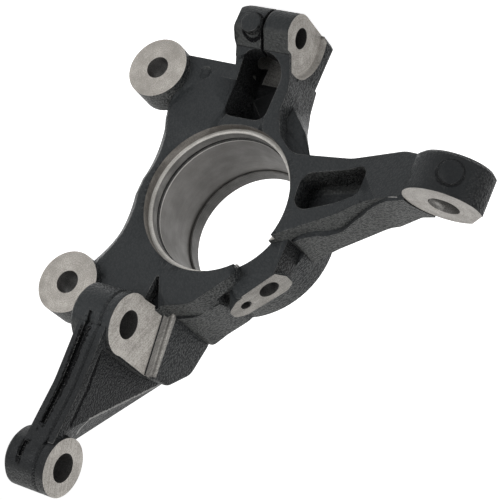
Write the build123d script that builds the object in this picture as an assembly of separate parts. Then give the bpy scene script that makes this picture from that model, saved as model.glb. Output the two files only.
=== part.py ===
from build123d import *
import os
from math import cos, radians, sin, tan

# Steering knuckle of a strut suspension, one iron casting with machined faces.
# The origin is the centre of the bearing seat at its inboard ledge. +Y points inboard along the
# bore, +Z points up to the strut arm and +X points to the tie rod arm. Sizes are in millimetres.

# Hub barrel and bearing bore
BEARING_R = 39.0
BEARING_LEN = 43.0
ENTRY_GAP = 0.5
MOUTH_R = 42.0
LIP_STEP = 1.5
HUB_LEN = 51.5
HUB_WALL = 7.5
HUB_DRAFT = 4.5
HUB_CHAMFER = 3.0
GROOVE_FROM_LEDGE = 4.9
GROOVE_W = 2.2
GROOVE_DEPTH = 1.6
FLAT_X = 45.4
FLAT_LEN = 17.0

# Front plate round the bore
PLATE_FRONT = 5.5
PLATE_T = 16.0
SECTOR_FRONT = -3.5
SIDE_X = -50.5
SIDE_BEVEL = 4.0
BEVEL_R = 235.0
SCALLOP_DEPTH = 6.3
SCALLOP_R = 50.0
SCALLOP_Z = (-15.5, 23.0)
PLATE_LOW = -75.2
PARTING = -5.0
WEB_BACK = -30.0

# Caliper ears
EAR_REACH = 90.2
EAR_ANGLES = (132.0, 223.5)
EAR_R = 17.5
EAR_HOLE_R = 6.4
EAR_FRONT = 11.1
EAR_T = 19.0

# Strut flange
STRUT_FACE_X = -6.0
STRUT_BOSS_T = 25.5
STRUT_HOLE_R = 7.6
STRUT_TOP = (22.6, 160.2)
STRUT_LOW = (21.3, 81.8)
STRUT_TOP_R = 15.3
STRUT_LOW_R = 16.4
STRUT_WEB_T = 17.0
STRUT_STEP = 1.5
STRUT_POCKET = 6.5
STRUT_BASE = 64.5
STRUT_CREASE_X = -12.0
STRUT_BEAD = 1.2
CREST = (-33.0, 97.7)
CREST_ANGLE = 38.3
REAR_SLOPE = 35.0
BLOCK_X = -2.0
BLOCK_EDGE = ((-1.2, 40.0), (-13.4, 98.0))
MILLED_STRIP_X = -5.2
MILLED_STRIP_W = 4.0
SEAM_X = -19.0
SEAM_DEPTH = 1.4
SEAM_W = 2.2

# Ball joint clamp
STUD_X = -10.5
STUD_Y = -11.0
STUD_R = 9.0
STUD_DEPTH = 36.0
CLAMP_SIDE = 18.5
CLAMP_WALL_X = 9.8
CLAMP_BOTTOM = -111.0
CLAMP_FRONT = 15.0
CLAMP_TOP = -86.0
BOLT_Y = 0.5
BOLT_Z = -99.0
BOLT_R = 5.8
BOLT_SPOT_X = 6.0
BOLT_SPOT_R = 21.5
EDGE_BACK = 3.0
SLIT_W = 2.0
WINDOW_BACK = -17.0

# Tie rod arm
TIE_X = 131.5
TIE_Y = 21.5
TIE_RX = 20.7
TIE_RY = 17.8
TIE_FACE = -17.0
TIE_T = 21.6
TIE_HOLE_R = 8.1
TIE_TAPER = 0.05
TIE_POCKET = 18.0
ARM_STEP = 3.0

# Speed sensor pad
PAD_ANGLE = 38.5
PAD_REACH = 54.5
PAD_T = 12.0
SENSOR_X = 2.3
SENSOR_Y = 12.4
SENSOR_R = 5.5
SCREW_GAP = 14.3
SCREW_R = 3.0
SCREW_DEPTH = 11.0

# Small cast marks
CAST_BEVEL = 2.0
DISC_R = 5.8
DISC_T = 1.7
DIMPLE_R = 5.0
PASS = 1.0
REACH = 160.0


def front_plane(y):
    """A sketch plane square to the bore: x is X, y is Z, and it extrudes away from the viewer."""
    return Plane(origin=(0, y, 0), x_dir=(1, 0, 0), z_dir=(0, -1, 0))


def side_plane(x):
    """A sketch plane square to X: x is Y, y is Z, and it extrudes towards +X."""
    return Plane(origin=(x, 0, 0), x_dir=(0, 1, 0), z_dir=(1, 0, 0))


def outline(*corners):
    """A closed face from corners given as (x, y, corner radius)."""
    points = [(x, y) for x, y, r in corners]
    return make_face(FilletPolyline(*points, radius=[r for x, y, r in corners], close=True))


def slab(face, plane, depth):
    """A prism of a flat face, from its plane along the plane's direction."""
    return extrude(plane * face, amount=depth)


def rod_y(x, z, r, y_from, y_to):
    """A cylinder along the bore's direction."""
    return slab(Pos(x, z) * Circle(r), front_plane(y_to), y_to - y_from)


def rod_x(y, z, r, x_from, x_to):
    """A cylinder square to the bore, along X."""
    return slab(Pos(y, z) * Circle(r), side_plane(x_from), x_to - x_from)


def crossed(plan, front):
    """The solid that has one outline from above and another from the front."""
    upright = extrude(Pos(0, 0, -REACH / 2) * plan, amount=REACH)
    return upright & slab(front, front_plane(REACH / 2), REACH)


def round_over(body, radius, keep):
    """The body with the edges rounded that keep() picks out."""
    return fillet(body.edges().filter_by(keep), radius)


def break_edges(body, width, keep):
    """The body with the edges bevelled that keep() picks out."""
    return chamfer(body.edges().filter_by(keep), width)


def ear_centre(angle):
    """X and Z of a caliper ear from its angle round the bore."""
    return EAR_REACH * cos(radians(angle)), EAR_REACH * sin(radians(angle))


def hub():
    """The barrel round the bearing, with a flat beside the sensor pad."""
    rear = BEARING_R + HUB_WALL
    front = rear + (HUB_LEN - HUB_CHAMFER + SECTOR_FRONT) * sin(radians(HUB_DRAFT))
    half = Polyline((0, -HUB_LEN), (rear - HUB_CHAMFER, -HUB_LEN), (rear, -HUB_LEN + HUB_CHAMFER),
                    (front, SECTOR_FRONT), (0, SECTOR_FRONT), close=True)
    barrel = revolve(make_face(half), axis=Axis.Y)
    flat = outline((FLAT_X, 4, 0), (front + 9, 4, 0), (front + 9, 30, 0), (FLAT_X, 30, 0))
    return barrel - slab(flat, front_plane(SECTOR_FRONT + PASS), FLAT_LEN + PASS)


def sector():
    """The lower front face beside the sensor, out to the flat and to the pad."""
    face = outline((20, 20, 0), (FLAT_X, 0, 0), (FLAT_X, 30.4, 0), (30.8, 48.7, 3), (24, 40.5, 4))
    return slab(face, front_plane(SECTOR_FRONT), FLAT_LEN)


def edge_scoop(radius, depth, z):
    """A conical cutter that bevels the plate's free edge, deepest at one height and fading out."""
    run = PLATE_T / 2
    cone = revolve(make_face(Polyline((0, run), (radius + run, run), (radius - run, -run), (0, -run),
                                      close=True)), axis=Axis.Y)
    return Pos(SIDE_X + depth - radius, PLATE_FRONT, z) * cone


def side_plate():
    """The flank that carries both caliper ears, bevelled and scalloped along its free edge."""
    ux, uz = ear_centre(EAR_ANGLES[0])
    lx, lz = ear_centre(EAR_ANGLES[1])
    face = outline(
        (SIDE_X, 31, 12), (SIDE_X, -31, 12), (lx + 9, lz + 13, 6), (lx, lz, 0), (lx + 10, PLATE_LOW, 6),
        (0, PLATE_LOW, 0), (0, 60, 0), (STRUT_FACE_X - 4, 72, 0), (-40, 80, 0), (ux + 6, uz + 10, 3),
        (ux, uz, 0), (ux, uz - EAR_R - 1, 2))
    body = slab(face, front_plane(PLATE_FRONT), PLATE_T)
    body = body - edge_scoop(BEVEL_R, SIDE_BEVEL, 0)
    for z in SCALLOP_Z:
        body = body - edge_scoop(SCALLOP_R, SCALLOP_DEPTH, z)
    return body


def ring_plate():
    """The front plate round the bore's upper side, as far as the sensor's sector."""
    face = outline(
        (0, 15, 0), (12.3, 15, 0), (28.9, 35.2, 0), (27.5, 40, 6), (20.5, 48.5, 24), (12, 59, 14),
        (-2, STRUT_BASE - 1, 4), (STRUT_FACE_X - 1, STRUT_BASE, 0), (-22, 74, 0), (-30, 40, 0))
    return slab(face, front_plane(PLATE_FRONT), PLATE_T)


def clamp_plate():
    """The front plate from the bore down to the ball joint clamp and out to the tie arm."""
    left = STUD_X - CLAMP_SIDE
    face = outline(
        (SIDE_X / 2, -20, 0), (left + 6.2, PLATE_LOW, 0), (left + 1.2, CLAMP_TOP - 2, 0),
        (BOLT_SPOT_X, CLAMP_TOP - 2, 0), (12.5, -74, 4), (15, -66, 8), (15, -54, 10), (21, -41, 14),
        (32, -32.6, 12), (62, -35, 0), (62, -1, 0), (43, 11.5, 3), (32, 13.5, 0))
    return slab(face, front_plane(PLATE_FRONT), PLATE_T)


def ears():
    """The two machined caliper ears."""
    made = []
    for angle in EAR_ANGLES:
        x, z = ear_centre(angle)
        ear = rod_y(x, z, EAR_R, EAR_FRONT - EAR_T, EAR_FRONT)
        made.append(break_edges(ear, CAST_BEVEL, lambda e: e.center().Y < EAR_FRONT - PASS))
    return made


def strut_web_face():
    """Side view of the web between the two strut bosses."""
    ty, tz = STRUT_TOP
    ly, lz = STRUT_LOW
    return outline((ty + 14.2, tz - 4, 0), (ty + 11.5, 122, 40), (ly + 15.2, lz + 8, 0), (0, 80, 1),
                   (-39.5, 91, 1), (-39, 95, 4), (1.5, 146, 6), (ty - 14, tz + 2, 1), (ty, tz, 1))


def two_beads(face, back_x, front_x, keep):
    """A prism of a side view in two layers, whose bevelled edges leave a crease between them."""
    rear = slab(face, side_plane(back_x), STRUT_CREASE_X - back_x)
    near = slab(face, side_plane(STRUT_CREASE_X), front_x - STRUT_CREASE_X)

    def on_crease(edge):
        return abs(edge.center().X - STRUT_CREASE_X) < PASS / 10 and keep(edge)

    return [break_edges(layer, STRUT_BEAD, on_crease) for layer in (rear, near)]


def strut_flange():
    """The flange for the strut bolts: two bosses, a beaded rim, a recess and a sloping rear edge."""
    ty, tz = STRUT_TOP
    ly, lz = STRUT_LOW
    back_x = STRUT_FACE_X - STRUT_BOSS_T
    low_face = Pos(ly, lz) * Circle(STRUT_LOW_R) + outline(
        (ly, lz + 15.8, 0.5), (-10, 98.2, 2), (-24, 96, 3), (-24, STRUT_BASE - 1, 2), (ly, lz - 15.6, 0.5))
    top = two_beads(Pos(ty, tz) * Circle(STRUT_TOP_R), back_x - 0.7, STRUT_FACE_X, lambda e: True)
    low = two_beads(low_face, back_x, STRUT_FACE_X, lambda e: e.center().Y > 0)
    bosses = top + low
    for i in (0, 2):
        bosses[i] = break_edges(bosses[i], CAST_BEVEL, lambda e: e.center().X < back_x + PASS)
    front_x = STRUT_FACE_X - STRUT_STEP
    rim = two_beads(strut_web_face(), front_x - STRUT_WEB_T, front_x,
                    lambda e: e.center().Y > 25 and abs(e.tangent_at(0.5).Z) > 0.9)
    return [*bosses, *[layer - recess() - rear_slope() for layer in rim]]


def recess():
    """The cut that leaves the web thin behind its rim, out past its rear edge."""
    ty, tz = STRUT_TOP
    face = outline((31.5, 146, 3), (30.5, 122, 30), (32, 98.5, 3), (-14, 98.5, 0), (-30, 88, 0),
                   (-60, 60, 0), (-60, 170, 0), (22, 170, 0))
    cut = slab(face, side_plane(STRUT_FACE_X - STRUT_POCKET), 2 * STRUT_POCKET)
    return cut - rod_x(ty, tz, STRUT_TOP_R + 0.5, -30, 10)


def rear_slope():
    """The cut that slopes the web away behind its crest line."""
    a = radians(CREST_ANGLE)
    crest = Plane(origin=(STRUT_FACE_X - STRUT_POCKET, *CREST), x_dir=(0, -sin(a), cos(a)),
                  z_dir=(0, cos(a), sin(a)))
    side = outline((0, 0, 0), (40, -40 * tan(radians(REAR_SLOPE)), 0), (40, 20, 0), (0, 20, 0))
    return slab(side, crest, 90) + slab(side, crest, -40)


def seams():
    """The rough line down the flange's rim where the mould halves met, and its end on the boss."""
    ty, tz = STRUT_TOP
    ly, lz = STRUT_LOW
    half = SEAM_W / 2
    line = slab(outline((20, lz + 2, 0), (60, lz + 2, 0), (60, tz - 16, 0), (20, tz - 16, 0)),
                side_plane(SEAM_X - half), SEAM_W)
    body = strut_web_face() + Pos(ly, lz) * Circle(STRUT_LOW_R)
    line = line - extrude(side_plane(SEAM_X - half) * offset(body, -SEAM_DEPTH), amount=SEAM_W)
    slot = Pos(SEAM_X - 3.2, ty + STRUT_TOP_R, tz - 1) * Box(SEAM_W, 2 * SEAM_DEPTH, 8)
    return [line, slot]


def strut_root():
    """The block that carries the strut flange on the hub's barrel, its milled strip and its gusset."""
    back_x = STRUT_FACE_X - STRUT_BOSS_T
    (low_y, low_z), (top_y, top_z) = BLOCK_EDGE
    side = outline((low_y, low_z, 0), (top_y, top_z, 1), (-29, 96.5, 10), (-45, 84, 10),
                   (-49.5, 66, 0), (-49.5, 40, 0))
    block = slab(side, side_plane(back_x), BLOCK_X - back_x)
    block = round_over(block, 1.5, lambda e: e.center().X > BLOCK_X - PASS)
    strip_face = outline((low_y + MILLED_STRIP_W, low_z, 0), (top_y + MILLED_STRIP_W, top_z, 0),
                         (top_y - PASS, top_z, 0), (low_y - PASS, low_z, 0))
    strip = slab(strip_face, side_plane(STRUT_FACE_X - PASS), MILLED_STRIP_X - STRUT_FACE_X + PASS)
    front = outline((-31, 30, 0), (-31, STRUT_BASE, 0), (0, STRUT_BASE, 4), (9.5, 61, 10), (20, 50, 10),
                    (27, 30, 0))
    rear = outline((-31, 30, 0), (-31, STRUT_BASE, 0), (2, STRUT_BASE, 4), (7.5, 56.5, 10), (17, 45.5, 10),
                   (22, 30, 0))
    gusset = loft([front_plane(PLATE_FRONT - PLATE_T + 1) * front, front_plane(-47) * rear])
    return [block, strip, gusset]


def clamp():
    """The split clamp for the ball joint stud, and the web that ties it to the barrel."""
    left = STUD_X - CLAMP_SIDE
    front = CLAMP_FRONT + PASS
    plan = outline((left, front, 4), (CLAMP_WALL_X, front, 1), (CLAMP_WALL_X, PARTING, 0),
                   (CLAMP_WALL_X - 0.6, WEB_BACK, 3), (left + 3, WEB_BACK, 6))
    web_from = CLAMP_TOP + 3
    tall = extrude(Pos(0, 0, CLAMP_BOTTOM) * plan, amount=web_from + 3 - CLAMP_BOTTOM)
    side = outline(
        (PLATE_FRONT, web_from + 3, 0), (PLATE_FRONT, CLAMP_TOP, 2), (CLAMP_FRONT, CLAMP_TOP - 9.5, 5),
        (CLAMP_FRONT, CLAMP_BOTTOM, 12), (WEB_BACK, CLAMP_BOTTOM, 3), (WEB_BACK, web_from + 3, 0))
    lug = outline((left, CLAMP_BOTTOM, 9), (40, CLAMP_BOTTOM, 0), (40, web_from + 3, 0),
                  (left + 4, web_from + 3, 0), (left, CLAMP_TOP - 4, 5))
    body = tall & slab(side, side_plane(left - PASS), 60) & slab(lug, front_plane(front), 60)
    low_edge = outline(
        (BOLT_SPOT_X + 0.5, CLAMP_BOTTOM - PASS, 0), (CLAMP_WALL_X + 6, CLAMP_BOTTOM - PASS, 0),
        (CLAMP_WALL_X + 6, CLAMP_BOTTOM + 10, 0))
    body = body - slab(low_edge, front_plane(CLAMP_FRONT + 2 * PASS), 60)
    near = outline((left + 4, web_from, 0), (left + 4, -30, 0), (46, -20, 0), (37, -37, 2),
                   (29, -48.5, 8), (14.2, -62.5, 7), (CLAMP_WALL_X + 0.4, web_from, 0))
    rear = outline((left + 6, web_from, 0), (left + 6, -30, 0), (34, -20, 0), (27, -37, 2),
                   (15, -57, 8), (11.2, -70, 7), (9.2, web_from, 0))
    web = loft([front_plane(PARTING) * near, front_plane(WEB_BACK) * rear])
    return [body, web]


def tie_arm():
    """The boss for the tie rod end and the two-level arm that reaches out to it."""
    boss = extrude(Pos(TIE_X, TIE_Y, TIE_FACE - TIE_T) * Ellipse(TIE_RX, TIE_RY), amount=TIE_T)
    boss = break_edges(boss, CAST_BEVEL, lambda e: e.center().Z < TIE_FACE - TIE_T + PASS)
    far = TIE_X + TIE_RX - 0.8
    rear_cut = outline((far, TIE_Y - 3, 0), (far - 9, TIE_Y - 15.4, 0), (far + 20, TIE_Y - 15.4, 0),
                       (far + 20, TIE_Y - 3, 0))
    boss = boss - extrude(Pos(0, 0, TIE_FACE - TIE_T) * rear_cut, amount=TIE_T)
    heel = (TIE_X, TIE_Y - 14, 1)
    rear_edge = [(122, 4.2, 1), (113, 0, 8), (96, -14.5, 12), (77, -20.5, 20), (56, -27, 6)]
    plan = outline((30, PLATE_FRONT, 0), (67, PLATE_FRONT, 20), (110.5, TIE_Y - 0.5, 4),
                   (122, TIE_Y + 12, 2), heel, *rear_edge, (20, -45, 0))
    face = outline((30, 18, 0), (43.4, 11, 2), (63.5, -1.5, 20), (88, -14.6, 30), (112, TIE_FACE - 2, 1),
                   (128, TIE_FACE - 2, 1), (128, TIE_FACE - TIE_T + 0.7, 1), (100, -42.2, 20),
                   (66, -36.6, 10), (30, -32, 0))
    rear_plan = outline((46, -6, 0), (54, 0, 10), (66, -12, 9), (78, -1, 10), (100, 17, 12),
                        (113, TIE_Y, 1), (TIE_X - 10, TIE_Y - 14, 1), *rear_edge, (44, -33, 0))
    rear_face = outline((40, 8, 0), (49, 7.5 + ARM_STEP, 2), (63.5, -1.5 + ARM_STEP, 20),
                        (91, -16.2 + ARM_STEP, 20), (114, TIE_FACE + 0.5, 1), (124, TIE_FACE + 0.3, 1),
                        (124, -30, 1), (40, -30, 0))
    return [boss, crossed(plan, face), crossed(rear_plan, rear_face)]


def pad_plane():
    """The machined sensor pad: x runs round the hub from the arm to the strut, y runs outboard."""
    a = radians(PAD_ANGLE)
    return Plane(origin=(PAD_REACH * cos(a), 0, PAD_REACH * sin(a)), x_dir=(-sin(a), 0, cos(a)),
                 z_dir=(cos(a), 0, sin(a)))


def sensor_pad():
    """The pad's body, flush with the sector's front face."""
    lip = -SECTOR_FRONT
    face = outline((-5.5, lip, 0), (19, lip + 1.5, 3), (25.5, lip + 6, 4), (25.5, lip + 13, 4),
                   (20, lip + 17, 6), (-4, lip + 19.5, 4), (-9, lip + 16.5, 3), (-9, lip + 8, 3))
    return extrude(pad_plane() * face, amount=-PAD_T)


def cast_marks():
    """The raised round marks on the clamp's left lug and on the tie arm's boss."""
    lug = rod_y(STUD_X - 6.6, -96, DISC_R, CLAMP_FRONT - 2, CLAMP_FRONT + DISC_T)
    boss = Pos(TIE_X, TIE_Y, TIE_FACE - TIE_T / 2) * Rot(0, 0, -21) * Rot(-90, 0, 0) * Cylinder(
        DISC_R + 0.3, TIE_RY + DISC_T, align=(Align.CENTER, Align.CENTER, Align.MIN))
    return [lug, boss]


def build():
    """The raw casting, before any machining."""
    solids = [sector(), side_plate(), ring_plate(), clamp_plate(), *ears(), *strut_flange(),
              *strut_root(), *clamp(), *tie_arm(), sensor_pad(), *cast_marks()]
    return hub().fuse(*solids)


def bore_cuts():
    """The stepped bearing bore with its snap ring groove."""
    open_end = PLATE_FRONT + 40
    return [
        rod_y(0, 0, BEARING_R - LIP_STEP, -HUB_LEN - PASS, open_end),
        rod_y(0, 0, BEARING_R, -BEARING_LEN, open_end),
        rod_y(0, 0, BEARING_R + ENTRY_GAP, -GROOVE_FROM_LEDGE, open_end),
        rod_y(0, 0, BEARING_R + GROOVE_DEPTH, -GROOVE_FROM_LEDGE - GROOVE_W, -GROOVE_FROM_LEDGE),
        rod_y(0, 0, MOUTH_R, 0, open_end),
    ]


def clamp_cuts():
    """The stud's bore, the slit, the pinch bolt's hole with its milled seat, and the front window."""
    slit_y = CLAMP_FRONT + 3 * PASS
    window = outline((8, -46, 6), (-17.5, -45.5, 5), (-18, -66, 10), (-20.5, CLAMP_TOP, 5),
                     (8, CLAMP_TOP, 18))
    edge = outline((0, -70, 0), (16, -70, 0), (12.5, -74, 4), (BOLT_SPOT_X, CLAMP_TOP - 2, 0),
                   (0, CLAMP_TOP - 2, 0))
    return [
        rod_x(BOLT_Y, BOLT_Z, BOLT_SPOT_R, BOLT_SPOT_X, 40) - slab(edge, front_plane(20), 20 - EDGE_BACK),
        rod_x(BOLT_Y, BOLT_Z, BOLT_R, -60, BOLT_SPOT_X + PASS),
        Pos(STUD_X, STUD_Y, CLAMP_BOTTOM - PASS) * extrude(Circle(STUD_R), amount=STUD_DEPTH),
        Pos(STUD_X, (STUD_Y + slit_y) / 2, CLAMP_BOTTOM + 12) * Box(SLIT_W, slit_y - STUD_Y, 36),
        slab(window, front_plane(PLATE_FRONT + 4 * PASS), PLATE_FRONT + 4 * PASS - WINDOW_BACK),
    ]


def tie_cuts():
    """The tie rod's tapered hole, its machined seat and the cast pocket in the arm."""
    taper = revolve(make_face(Polyline((0, 0), (TIE_HOLE_R, 0), (TIE_HOLE_R - TIE_T * TIE_TAPER, -TIE_T),
                                       (0, -TIE_T), close=True)), axis=Axis.Y)
    seat = extrude(Pos(TIE_X, TIE_Y, TIE_FACE) * Ellipse(TIE_RX, TIE_RY), amount=10)
    mouth = outline((44.5, -0.5, 7), (80.5, -17, 6), (79.8, -34.5, 5), (43, -23.7, 8))
    pocket = extrude(front_plane(PLATE_FRONT + 6 * PASS) * mouth, amount=TIE_POCKET + 6 * PASS, taper=4)
    floor_y = PLATE_FRONT - TIE_POCKET
    pocket = break_edges(pocket, 3, lambda e: e.center().Y < floor_y + PASS / 10)
    return [seat, Pos(TIE_X + 1, TIE_Y, TIE_FACE) * Rot(90, 0, 0) * taper, pocket]


def cuts():
    """Every cut made in the casting, one cutter each."""
    made = bore_cuts() + clamp_cuts() + tie_cuts()
    for angle in EAR_ANGLES:
        x, z = ear_centre(angle)
        made.append(rod_y(x, z, EAR_HOLE_R, PLATE_FRONT - PLATE_T - PASS, EAR_FRONT + PASS))
    for y, z in (STRUT_TOP, STRUT_LOW):
        made.append(rod_x(y, z, STRUT_HOLE_R, STRUT_FACE_X - STRUT_BOSS_T - 9, STRUT_FACE_X + PASS))
    for x, r, depth in ((SENSOR_X, SENSOR_R, 30), (SENSOR_X + SCREW_GAP, SCREW_R, SCREW_DEPTH)):
        made.append(extrude(pad_plane() * (Pos(x, SENSOR_Y) * Circle(r)), amount=-depth))
    notch = outline((-13.5, 46, 1), (-15.5, STRUT_BASE + 2, 1), (-4, STRUT_BASE + 2, 1))
    made.append(extrude(front_plane(PLATE_FRONT + PASS) * notch, amount=7 + PASS, taper=8))
    hollow = outline((18.5, 44.5, 1), (23.5, 41, 2), (25, 47, 4), (26.4, 53.5, 0), (27, 62, 0), (20, 62, 0))
    made.append(slab(hollow, front_plane(PARTING), 16))
    made.append(Pos(-39, PLATE_FRONT + DIMPLE_R * 0.6, -67) * Sphere(DIMPLE_R))
    made += seams()
    return made


knuckle = build()
for cutter in cuts():
    knuckle = knuckle - cutter

casting = knuckle.solid()
casting.label = "knuckle"
os.makedirs("parts", exist_ok=True)
export_step(casting, "parts/knuckle.step")
print("solids", len(knuckle.solids()), "volume", round(casting.volume), "box", casting.bounding_box())
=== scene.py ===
"""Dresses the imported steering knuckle: a black painted iron casting with bare machined faces."""

import logging
from dataclasses import dataclass, field, replace
from enum import Enum

import bmesh
import bpy
import numpy as np
from mathutils import Matrix, Vector


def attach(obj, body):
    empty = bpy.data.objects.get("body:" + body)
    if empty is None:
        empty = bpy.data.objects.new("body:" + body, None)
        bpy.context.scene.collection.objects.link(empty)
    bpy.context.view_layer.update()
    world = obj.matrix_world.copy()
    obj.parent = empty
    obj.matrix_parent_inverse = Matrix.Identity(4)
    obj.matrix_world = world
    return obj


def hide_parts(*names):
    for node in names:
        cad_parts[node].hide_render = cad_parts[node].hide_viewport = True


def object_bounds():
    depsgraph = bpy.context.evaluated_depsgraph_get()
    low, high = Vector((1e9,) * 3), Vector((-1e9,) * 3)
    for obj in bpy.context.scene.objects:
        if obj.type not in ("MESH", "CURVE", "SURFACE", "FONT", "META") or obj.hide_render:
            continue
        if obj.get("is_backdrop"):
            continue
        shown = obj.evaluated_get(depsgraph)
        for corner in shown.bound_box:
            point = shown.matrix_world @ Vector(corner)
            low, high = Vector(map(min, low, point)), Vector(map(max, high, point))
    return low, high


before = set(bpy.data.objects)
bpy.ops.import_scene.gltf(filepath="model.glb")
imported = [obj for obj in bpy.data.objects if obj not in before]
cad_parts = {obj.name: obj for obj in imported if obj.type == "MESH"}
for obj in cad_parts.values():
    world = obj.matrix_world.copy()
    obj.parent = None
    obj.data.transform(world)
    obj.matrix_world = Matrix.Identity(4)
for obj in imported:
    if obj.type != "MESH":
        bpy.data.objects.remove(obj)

LOG = logging.getLogger("knuckle")
MM = 0.001
JUNCTION_MM = 4.0      # walls nearer than this darken a junction
HOLLOW_MM = 26.0       # walls nearer than this darken a hollow
MARK_REACH_MM = 27.0   # a round mark's foot lies nearer than this to its axis point

Tree = bpy.types.NodeTree
Node = bpy.types.Node
Socket = bpy.types.NodeSocket
Sockets = bpy.types.bpy_prop_collection
Span = tuple[float, float]
Point = tuple[float, float, float]
Colour = tuple[float, float, float]
Room = tuple[Point, float, float, float]
Value = float | Socket
Spot = Point | Socket
Tone = Colour | Socket

ORIGIN: Point = (0.0, 0.0, 0.0)
X_AXIS: Point = (1.0, 0.0, 0.0)
Y_AXIS: Point = (0.0, 1.0, 0.0)
Z_AXIS: Point = (0.0, 0.0, 1.0)


class Side(Enum):
    """How the faces of a patch are told from the rest: by a plane, a cylinder or a hollow."""

    FLAT = "flat"
    ROUND = "round"
    HOLLOW = "hollow"


class Axis(Enum):
    """The frame's three axes, by their place in a point."""

    X = 0
    Y = 1
    Z = 2


# ---------------------------------------------------------------- shader building


class Graph:
    """A thin writer for node trees, used by the groups and by the finishes."""

    def __init__(self, tree: Tree) -> None:
        """Starts on an empty tree."""
        self.tree = tree
        tree.nodes.clear()

    def add(self, kind: str, **settings: object) -> Node:
        """Adds one node.

        Args:
            kind: the node's type name, without the ShaderNode prefix.
            settings: attributes of the node, such as operation or blend_type.

        Returns:
            The new node.
        """
        name = kind if kind.startswith("NodeGroup") else "ShaderNode" + kind
        node = self.tree.nodes.new(name)
        for key, value in settings.items():
            setattr(node, key, value)
        return node

    def feed(self, node: Node, **inputs: object) -> Node:
        """Sets or links inputs by name, where an underscore stands for a space.

        Args:
            node: the node that takes the inputs.
            inputs: plain values, or output sockets to link from.

        Returns:
            The same node.
        """
        for key, value in inputs.items():
            self.put(node.inputs[key.replace("_", " ")], value)
        return node

    def put(self, socket: Socket, value: object) -> None:
        """Links a socket from another one, or gives it a plain value.

        Args:
            socket: the input that is fed.
            value: an output socket to link from, or a number, a point or a colour.
        """
        if isinstance(value, Socket):
            self.tree.links.new(value, socket)
        elif socket.type == "RGBA":
            socket.default_value = (*value, 1.0)
        else:
            socket.default_value = value

    def math(self, operation: str, first: Value, second: Value = 0.0,
             clamp: bool = False) -> Socket:
        """One sum on two numbers.

        Args:
            operation: the Math node's operation.
            first: a number or a socket.
            second: a number or a socket.
            clamp: keeps the result from 0 to 1.

        Returns:
            The result's socket.
        """
        node = self.add("Math", operation=operation, use_clamp=clamp)
        self.put(node.inputs[0], first)
        self.put(node.inputs[1], second)
        return node.outputs[0]

    def vector_node(self, operation: str, first: Spot, second: Spot) -> Node:
        """One sum on two vectors.

        Args:
            operation: the Vector Math node's operation.
            first: a vector or a socket.
            second: a vector or a socket, unused where the operation takes one vector.

        Returns:
            The node.
        """
        node = self.add("VectorMath", operation=operation)
        self.put(node.inputs[0], first)
        self.put(node.inputs[1], second)
        return node

    def vector(self, operation: str, first: Spot, second: Spot) -> Socket:
        """The vector that comes of two others."""
        return self.vector_node(operation, first, second).outputs["Vector"]

    def measure(self, operation: str, first: Spot, second: Spot = ORIGIN) -> Socket:
        """The number that comes of one or two vectors, such as a length or a dot product."""
        return self.vector_node(operation, first, second).outputs["Value"]

    def scaled(self, vector: Spot, factor: Value) -> Socket:
        """A vector times a number, where each may be a socket."""
        node = self.feed(self.vector_node("SCALE", vector, ORIGIN), Scale=factor)
        return node.outputs["Vector"]

    def split(self, vector: Socket) -> Sockets:
        """The three parts of a vector, by the names X, Y and Z."""
        return self.feed(self.add("SeparateXYZ"), Vector=vector).outputs

    def ramp(self, value: Socket, low: float, high: float, to_low: float = 0.0,
             to_high: float = 1.0) -> Socket:
        """A smooth step from one number to another.

        Args:
            value: the number that is read.
            low: where the step starts.
            high: where the step ends.
            to_low: the result below the step.
            to_high: the result above the step.

        Returns:
            The result's socket.
        """
        node = self.add("MapRange", interpolation_type="SMOOTHSTEP")
        self.feed(node, Value=value, From_Min=low, From_Max=high, To_Min=to_low, To_Max=to_high)
        return node.outputs["Result"]

    def fall(self, value: Socket, low: float, high: float) -> Socket:
        """A smooth step down from 1 to 0."""
        return self.ramp(value, low, high, 1.0, 0.0)

    def mix(self, factor: Value, first: Tone, second: Tone) -> Socket:
        """A mix of two colours.

        Args:
            factor: how much of the second colour shows.
            first: a colour or a socket.
            second: a colour or a socket.

        Returns:
            The mixed colour's socket.
        """
        node = self.add("Mix", data_type="RGBA")
        factor_in, first_in, second_in = (node.inputs[index] for index in (0, 6, 7))
        self.put(factor_in, factor)
        self.put(first_in, first)
        self.put(second_in, second)
        return node.outputs[2]

    def noise(self, spot: Socket, scale: float, detail: float = 2.0,
              rough: float = 0.5) -> Socket:
        """Soft noise over a place, as a number from 0 to 1.

        Args:
            spot: the place, in millimetres.
            scale: cells to a millimetre.
            detail: how many finer layers are added.
            rough: how strong the finer layers are.

        Returns:
            The noise's socket.
        """
        node = self.feed(self.add("TexNoise"), Vector=spot, Scale=scale, Detail=detail,
                         Roughness=rough)
        return node.outputs["Fac"]

    def fray(self, noise: Socket, strength: Value) -> Socket:
        """Noise moved to lie about 0 and made stronger, to roughen an edge."""
        return self.math("MULTIPLY", self.math("SUBTRACT", noise, 0.5), strength)


def new_group(name: str, inputs: dict[str, float | Point],
              outputs: tuple[str, ...]) -> tuple[Tree, Graph, dict, dict]:
    """Makes an empty shader group with named sockets.

    Args:
        name: the group's name.
        inputs: each input's name and value, a number or a point.
        outputs: the names of the numbers that it puts out.

    Returns:
        The group, its writer, its input sockets by name and its output sockets by name.
    """
    tree = bpy.data.node_groups.new(name, "ShaderNodeTree")
    graph = Graph(tree)
    for key, value in inputs.items():
        kind = "NodeSocketVector" if isinstance(value, tuple) else "NodeSocketFloat"
        tree.interface.new_socket(key, in_out="INPUT", socket_type=kind).default_value = value
    for key in outputs:
        tree.interface.new_socket(key, in_out="OUTPUT", socket_type="NodeSocketFloat")
    source = graph.add("NodeGroupInput")
    drain = graph.add("NodeGroupOutput")
    reads = {key: source.outputs[key] for key in inputs}
    writes = {key: drain.inputs[key] for key in outputs}
    return tree, graph, reads, writes


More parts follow.
